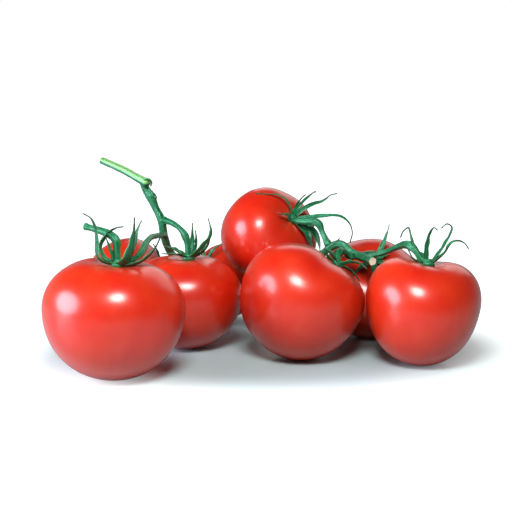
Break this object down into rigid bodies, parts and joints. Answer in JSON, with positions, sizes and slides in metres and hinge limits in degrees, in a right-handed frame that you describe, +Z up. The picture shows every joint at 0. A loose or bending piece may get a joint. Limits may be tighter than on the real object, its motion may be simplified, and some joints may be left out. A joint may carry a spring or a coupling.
{
  "type": "truss of tomatoes",
  "caption": "Truss of ripe round vine tomatoes on their green branching stem, each with a star of curled sepals, lying on a table with a piece of cut main stem standing up.",
  "frame": {"origin": "on the table, under the middle of the truss", "axes": "+X along the truss, away from the cut main stem; +Z up; -Y the side the truss is usually seen from"},
  "size_m": [0.2469, 0.2219, 0.1174],
  "materials": {
    "tomato_skin": "smooth waxy ripe skin, glossy",
    "calyx": "satin leaf, lighter on its upper face",
    "vine": "satin green stem, finely haired"
  },
  "bodies": {
    "root": {"fruit_1": "tomato_skin", "calyx_1": "calyx", "fruit_2": "tomato_skin", "calyx_2": "calyx", "fruit_3": "tomato_skin", "calyx_3": "calyx", "fruit_4": "tomato_skin", "calyx_4": "calyx", "fruit_5": "tomato_skin", "calyx_5": "calyx", "fruit_6": "tomato_skin", "calyx_6": "calyx", "fruit_7": "tomato_skin", "calyx_7": "calyx", "fruit_8": "tomato_skin", "calyx_8": "calyx", "vine": "vine"}
  },
  "joints": []
}
